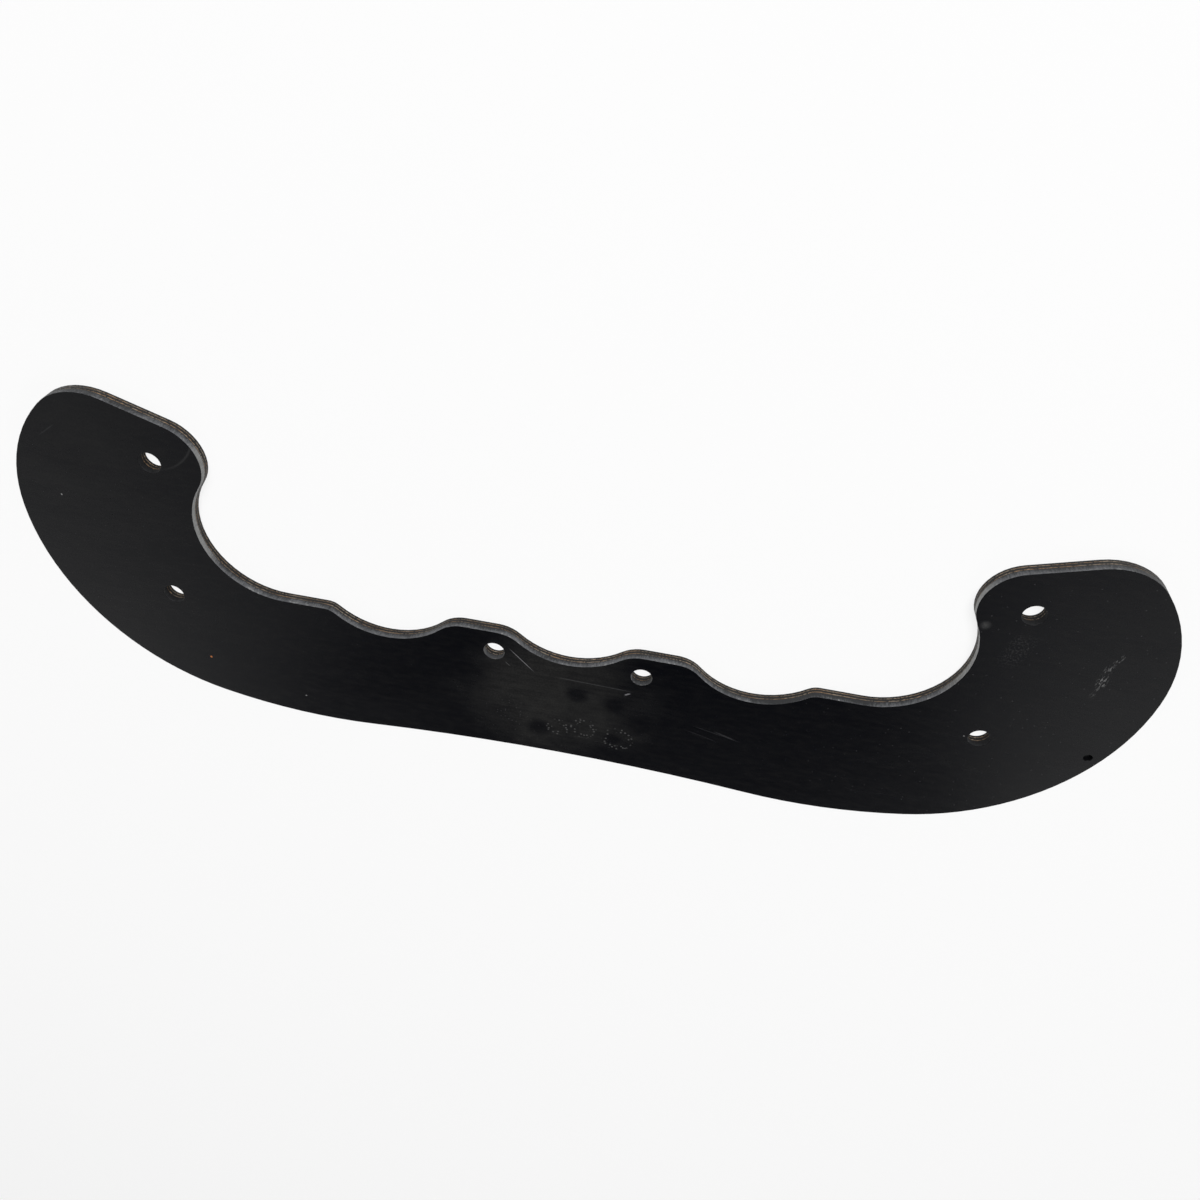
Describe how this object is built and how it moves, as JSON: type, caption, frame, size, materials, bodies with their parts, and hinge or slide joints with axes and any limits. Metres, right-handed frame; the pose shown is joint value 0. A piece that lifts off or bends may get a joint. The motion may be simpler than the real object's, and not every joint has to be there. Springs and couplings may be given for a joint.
{
  "type": "snow blower rotor blade",
  "caption": "Flat blade die-cut from rubber sheet with fabric plies, with upturned ears and a scalloped inner edge, drilled to bolt to a snow blower's rotor.",
  "frame": {"origin": "on the back face, midway between the two inner bolt holes", "axes": "+X along the blade towards the end with the wear hole, +Y from the outer edge towards the ears, +Z from the back face to the front face"},
  "size_m": [0.508, 0.1712, 0.0063],
  "materials": {
    "rubber_sheet": "satin black sheet, cut edges show grey cover rubber over two tan fabric plies"
  },
  "bodies": {
    "root": {"rotor_blade": "rubber_sheet"}
  },
  "joints": []
}
